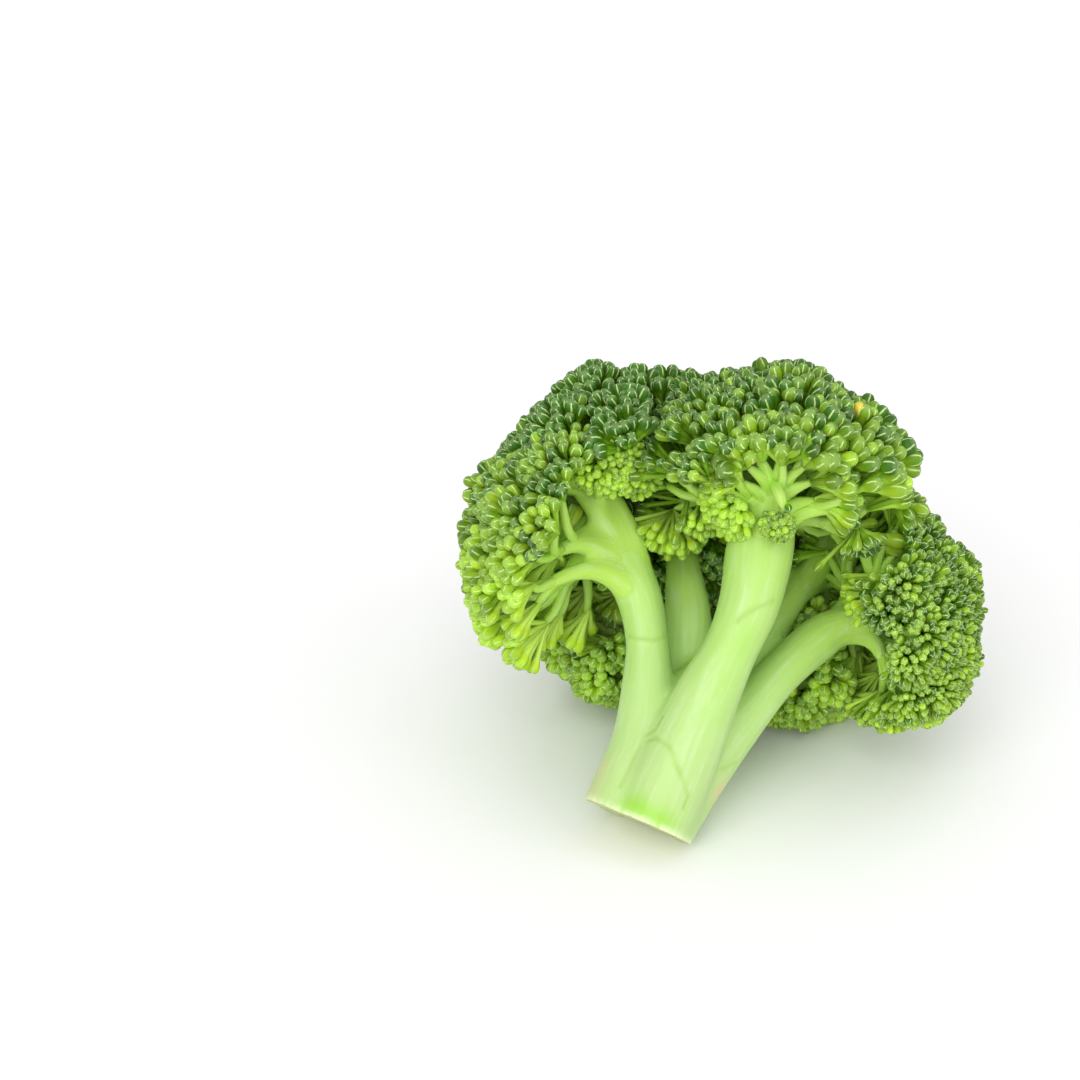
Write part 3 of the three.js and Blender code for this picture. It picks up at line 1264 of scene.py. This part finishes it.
LIMBS: dict[str, tuple[Station, ...]] = {
    "trunk": ((-17, -40.5, 6, 9.6), (-11.5, -32.5, 14, 10), (-7, -24, 20.5, 8.5), (-3, -16.5, 27, 5)),
    "left": ((-22, -40, 8, 7.2), (-17.5, -33, 17, 6.8), (-16.5, -26, 26, 5.6), (-16.5, -19.5, 34, 4.6),
             (-18.5, -13, 42, 4.9), (-23.5, -7, 49, 5), (-27.5, -3.5, 51.5, 4.6)),
    "centre": ((-15.5, -44, 7, 8), (-11, -40, 16.5, 8), (-5, -33.5, 28.5, 6.8), (0, -29, 37.5, 5.7),
               (4, -23.5, 45.5, 6.4), (6.5, -15, 54, 7), (9, -7, 60, 6.5)),
    "right": ((-12.5, -42, 4.5, 6.5), (-7, -34, 9.5, 6.4), (2.5, -24.5, 17.5, 5.4),
              (11.5, -16.5, 24.5, 4.6), (20.5, -9, 29, 4.8), (26.5, -7, 31.5, 4.5)),
    "rear_left": ((-18, -30.5, 6, 6), (-12.5, -22, 12.5, 6), (-9, -14, 21, 5.5), (-7.5, -5, 31, 5.2),
                  (-8.5, 7, 40, 4.8)),
    "rear_right": ((-7.5, -24, 9, 6), (-1, -15.5, 17.5, 5), (8, -6.5, 26.5, 4.2), (16.5, 3, 33.5, 4)),
    "under_left": ((-19.5, -33, 5, 5.5), (-15.5, -20, 9, 5.5), (-16, -6.5, 13, 4.8), (-18.5, 4.5, 16, 4.2)),
    "under_right": ((-12.5, -33.5, 5.5, 5.5), (-5, -21, 8, 5.5), (4, -10, 10, 4.8), (13, -0.5, 11.5, 4.2)),
}
CUT_POINT: Triple = (-18, -42, 4)
CUT_FACING: Triple = (-0.4, -0.53, -0.75)
MARKS: tuple[Mark, ...] = (
    Mark(MarkKind.LINE,
         ((-22.4, -43.7, 14.1), (-19.6, -40.2, 18.6), (-17.3, -38.3, 20.9), (-15.2, -40.8, 23.7),
          (-12.9, -43.7, 23.6), (-10.8, -46.9, 20.0), (-8.9, -48.1, 14.6), (-9.7, -49.0, 12.3)),
         0.55, 0.9, -0.25),
    Mark(MarkKind.LINE,
         ((-20.5, -21.3, 35.9), (-18.1, -23.2, 36.3), (-15.7, -23.6, 36.2), (-13.2, -21.8, 36.1)),
         0.45, 0.6, 0.15),
    Mark(MarkKind.LINE, ((-17.1, -37.4, 22.0), (-15.4, -38.2, 24.4), (-13.9, -37.2, 26.6)), 0.6, 0.8, -0.3),
    Mark(MarkKind.LINE, ((1.2, -31.1, 45.0), (3.2, -30.1, 46.7), (5.6, -29.1, 47.5), (8.1, -27.4, 47.9)),
         0.5, 0.7, 0.2),
    Mark(MarkKind.LINE, ((-2.7, -36.8, 13.8), (-0.6, -35.4, 13.4), (1.8, -33.2, 13.2)), 0.4, 0.6, -0.15),
    Mark(MarkKind.GREEN, ((-20.5, -48.0, 11.6), (-18.5, -49.5, 11.7), (-14.1, -51.2, 10.2)), 3.0, 1.0),
    Mark(MarkKind.GREEN, ((-3.5, -40.4, 28.8), (-1.5, -37.8, 33.1), (0.5, -34.9, 38.4), (2.6, -32.8, 41.8)),
         3.5, 0.28),
    Mark(MarkKind.BLUSH, ((-28.0, -41.0, 11.4), (-26.3, -38.0, 14.3)), 2.6, 0.7),
    Mark(MarkKind.BLUSH, ((-2.6, -38.2, 7.7), (-1.3, -36.7, 9.1)), 2.4, 0.8),
)

# The left limb's branches, and the tufts of young buds between them
LEFT_BOUGHS: tuple[tuple[Station, ...], ...] = (
    ((-17.9, -14.0, 40.4, 3.4), (-20.0, -11.0, 46.3, 3.2), (-24.1, -8.0, 53.6, 2.7),
     (-28.7, -6.0, 59.5, 2.2), (-32.4, -5.0, 63.6, 1.7)),
    ((-17.5, -12.0, 42.9, 3.2), (-19.6, -8.0, 51.3, 2.8), (-23.3, -4.0, 58.5, 2.2),
     (-26.6, -2.0, 64.4, 1.6)),
    ((-18.3, -13.0, 40.8, 3.2), (-22.9, -10.5, 48.2, 3.2), (-27.9, -12.0, 52.0, 2.2),
     (-32.8, -14.0, 53.1, 1.9), (-36.5, -16.0, 51.8, 1.6)),
    ((-17.2, -17.0, 36.9, 3.2), (-19.6, -14.0, 42.4, 3.5), (-25.0, -14.6, 47.1, 2.5),
     (-30.4, -16.0, 48.4, 2.0), (-35.1, -18.0, 47.4, 1.7), (-37.7, -19.0, 46.0, 1.5)),
)
LEFT_TUFTS: tuple[Tuft, ...] = (
    Tuft((-26.4, -10, 70.7), (-27, -17, 74.7), 1.6, 0.2, 70, False),
    Tuft((-22.7, -9, 69.3), (-22.7, -16, 72.4), 1.55, 0.15, 72, False),
    Tuft((-19.3, -5, 66.9), (-19.2, -12, 69.5), 1.6, 0.25, 70, False),
    Tuft((-31, -11, 72), (-33, -18, 77), 2.1, 0.55, 62),
    Tuft((-32.5, -14, 69), (-38.2, -20, 76), 2.7, 0.7, 52),
    Tuft((-15, 3, 68.5), (-14.9, -3, 69.5), 1.9, 0.6, 75),
    Tuft((-35.6, 4, 51.5), (-37, 12, 49.8), 2.7, 0.6, 78, False),
    Tuft((-20, 5, 42.5), (-27, 13, 43.5), 2.6, 0.7, 80, False),
    Tuft((-35, -10, 49.5), (-43, -3, 52.5), 2.7, 0.5, 80, False),
)

# The fan at the top of the centre limb
CENTRE_BOUGHS: tuple[tuple[Station, ...], ...] = (
    ((5.8, -16, 54.5, 5.4), (7.2, -16, 61.5, 4.2), (8.1, -16.5, 67.5, 2.0)),
)
CENTRE_TWIGS: tuple[tuple[Station, ...], ...] = (
    ((7.8, -15, 62, 1.9), (7.2, -17.2, 68.4, 1.5), (5.4, -18.4, 71.4, 1.2), (2.8, -19, 73.9, 0.6)),
    ((8.0, -15, 63, 1.8), (7.9, -17.2, 69, 1.3), (7.2, -18.2, 72, 1.0), (5.9, -19, 75.2, 0.6)),
    ((8.2, -15, 63, 1.8), (8.4, -17.2, 69, 1.3), (8.9, -18.2, 72, 1.0), (9.3, -19, 75.7, 0.6)),
    ((8.2, -15, 62, 1.9), (9.0, -17.2, 68, 1.5), (11.4, -18.4, 71.2, 1.2), (14.5, -19, 73.9, 0.6)),
    ((7.8, -15, 60, 2.0), (9.4, -17, 65.2, 1.6), (12.4, -17.8, 68.2, 1.3), (16, -18, 69.8, 0.6)),
    ((7.4, -15, 57, 2.4), (10.2, -16.6, 62, 1.9), (13.2, -16.6, 64.2, 1.4), (17, -16, 64.7, 0.6)),
    ((7.4, -15, 60, 2.0), (6.4, -17, 65.6, 1.6), (4.6, -17.6, 67.9, 1.2), (2, -18, 69.8, 0.6)),
    ((8, -15, 56, 2.2), (14.4, -16.4, 61.8, 1.6), (21.2, -16.5, 62.6, 1.1), (26.1, -15, 57.8, 0.7)),
)
CENTRE_TUFTS: tuple[Tuft, ...] = (
    Tuft((2.8, -19, 73.9), (-3, -22, 81.1), 3.8, 0.65, 42, False),
    Tuft((5.9, -19, 75.2), (3.2, -22, 84.6), 3.6, 0.65, 36, False),
    Tuft((9.3, -19, 75.7), (10.7, -22, 85.1), 3.4, 0.6, 36, False),
    Tuft((14.5, -19, 73.9), (20.7, -22, 82.4), 3.8, 0.6, 42, False),
    Tuft((16, -18, 69.8), (24.9, -19, 73.9), 3.3, 0.6, 40, False),
    Tuft((17, -16, 64.7), (26.6, -16, 62), 3.1, 0.55, 40, False),
    Tuft((2, -18, 69.8), (-5.1, -20, 73.9), 2.6, 0.4, 45, False),
    Tuft((24.3, -5, 63.6), (28.7, -15, 70.9), 2.9, 0.65, 60),
    Tuft((27.7, -3, 56.8), (31.8, -13, 61.8), 2.9, 0.7, 60),
    Tuft((26.1, -15, 57.8), (28.3, -19, 53.4), 2.4, 0.75, 48, False),
    Tuft((26.1, -15, 57.8), (17.1, -18, 49.5), 1.9, 0.85, 3, False),
    Tuft((26.1, -15, 57.8), (22.2, -19, 53.6), 2.0, 0.8, 16, False),
    Tuft((34, -6, 59.6), (33.6, -13, 54.9), 2.7, 0.7, 60),
    Tuft((-7.3, -4, 62), (-12.7, -14, 68.2), 2.1, 0.6, 60),
    Tuft((-4.9, -7, 60.7), (-8.2, -16, 64), 1.9, 0.25, 60),
)

# Tufts that fill the right crown towards its limb, and the hollow in front of the rear crown
RIGHT_TUFTS: tuple[Tuft, ...] = (
    Tuft((31.7, -12, 41.3), (28.1, -18, 45.1), 1.9, 0.15, 85),
    Tuft((33, -10, 44.2), (30, -17, 49.2), 1.9, 0.3, 85),
)
REAR_TUFTS: tuple[Tuft, ...] = (
    Tuft((-1.6, 14, 39.6), (-2.2, 6, 44.8), 2.4, 0.9, 85),
    Tuft((-3.6, 14, 33.5), (-4.1, 6, 37.8), 2.4, 0.9, 85),
    Tuft((-13.6, 13, 34.7), (-13.9, 5, 38.1), 2.4, 0.9, 85),
    Tuft((5.7, 12, 28.4), (4.5, 5, 32.3), 2.4, 0.9, 85),
)


def crowns() -> list[Crown]:
    """Lists the crowns, nearest the eye first: each gives way to those before it."""
    barrel, bead = BudKind.BARREL, BudKind.BEAD
    rear = {"bud": 2.6, "reach": 8.5, "ripeness": Drift(0.78, 0.15), "fan": 76, "spread": 112, "lean": 0.2}
    under = {"bud": 2.4, "gap": 8.5, "reach": 7.5, "ripeness": Drift(0.45, 0.1), "branches": 5,
             "spread": 120, "lean": 0.0, "fan": 80}
    return [
        Crown("centre_crown", "centre", (9, -4, 64.5), (12, 11.5, 81.5), 27, BudPatch(barrel, 1.5, 11, 5),
              bud=2.8, gap=8.4, reach=10.0, ripeness=Drift(0.75, 0.3, (-0.6, 0.3, 0.7)),
              sizing=Drift(0.98, 0.3, (1.0, -0.45, 0.0)), branches=14, branch_radius=2.5, fan=62, lean=1.1,
              boughs=CENTRE_BOUGHS, twigs=CENTRE_TWIGS, tufts=CENTRE_TUFTS, bare=((14.4, -26, 79, 9.9),)),
        Crown("left_crown", "left", (-25.5, -1.5, 52), (-46, 12.5, 61.5), 33, BudPatch(barrel, 1.5, 12),
              bud=2.75, gap=8.4, reach=10.0, ripeness=Drift(0.72, 1.0, (0.3, 0.4, 0.87)), branches=8,
              branch_radius=2.7, fan=64, spread=79, lean=0.8, boughs=LEFT_BOUGHS, tufts=LEFT_TUFTS,
              bare=((-11.3, 13.4, 77.9, 3.0), (-35.3, -21.8, 76.5, 3.0), (-31.7, -14.4, 80.7, 3.0))),
        Crown("right_crown", "right", (32, -6, 33), (52, 2, 36), 26,
              BudPatch(bead, 1.15, 13, crowding=0.83), bud=1.85, gap=7.3, reach=7.2,
              ripeness=Drift(0.74, 0.25, (0.0, 0.4, 0.9)), sizing=Drift(1.0, 0.25, (-0.6, 0.0, 0.8)),
              fan=76, lean=0.2, spread=101, tufts=RIGHT_TUFTS),
        Crown("rear_left_crown", "rear_left", (-10, 22, 38), (-15, 50, 46), 25,
              BudPatch(barrel, 1.4, 14, 1), gap=8.6, tufts=REAR_TUFTS, **rear),
        Crown("rear_right_crown", "rear_right", (23, 19, 34), (34, 46, 38), 23,
              BudPatch(barrel, 1.4, 15, 1), gap=9.0, **rear),
        Crown("under_left_crown", "under_left", (-18, 14, 17.5), (-25, 34, 8.5), 19,
              BudPatch(barrel, 1.4, 16), **under),
        Crown("under_right_crown", "under_right", (19, 9, 14), (30, 27, 6), 18,
              BudPatch(barrel, 1.4, 17), **under),
    ]


def sprays() -> list[Spray]:
    """Lists the sprays below the crowns."""
    barrel = BudKind.BARREL
    return [
        Spray("dangling_spray", (8.9, -22.3, 62.6), (8.6, -26, 59.2), reach=4.0, bud=1.4, spread=110,
              ripeness=0.5, buds=BudPatch(barrel, 1.5, 21),
              stalk=((7, -16, 58.5, 1.6), (8.2, -19.5, 61.2, 1.3), (8.9, -22, 62.2, 1.0)),
              bract=((8.3, -16, 69, 0.9), (8.7, -20.4, 69.8, 1.3), (9.6, -22.8, 68.4, 1.2),
                     (10.1, -23.8, 66.4, 0.5)),
              tufts=(Tuft((10.4, -23.2, 68.2), (10.8, -25, 66.6), 1.6, 0.9, 4),)),
        Spray("inner_spray", (1.5, -15, 64), (-5, -19, 61), reach=8.0, bud=2.0, spread=80, ripeness=0.0,
              buds=BudPatch(barrel, 2.1, 22),
              stalk=((5, -12, 57, 1.6), (4, -13, 61, 1.3), (1.5, -15, 64, 1.0))),
        Spray("drooping_spray", (-11, -3, 55.5), (-13.5, -7, 46), reach=10.0, bud=2.2, spread=62,
              ripeness=0.12, buds=BudPatch(barrel, 1.5, 23, crowding=1.05),
              stalk=((-1, -6, 58, 1.8), (-6, -4, 58.5, 1.5), (-11, -3, 55.5, 1.1))),
    ]


def main() -> None:
    """Builds the head piece by piece, then the studio."""
    logging.basicConfig(level=logging.INFO, format="%(name)s %(message)s")
    stem = Stem(LIMBS, MARKS, CUT_POINT, CUT_FACING)
    limbs = stem.paths()
    skin, bud_skin = STEM_SKIN.material(), BUDS.material()
    grown: list[Crown] = []
    thick: list[Path] = []
    thin: list[Path] = []
    for crown in crowns():
        crown.plan(grown)
        branches, stalks = crown.stalks(limbs[crown.limb])
        thick += branches
        thin += stalks
        crown.build(bud_skin, [clump for other in grown for clump in other.clumps])
        grown.append(crown)
    for spray in sprays():
        thick.append(spray.path())
        thin += spray.bracts()
        spray.build(bud_skin)
    stem.build(list(limbs.values()), thick, thin, skin, CUT_SKIN.material())
    Studio(FLOOR_SKIN).build()


if __name__ == "__main__":
    main()
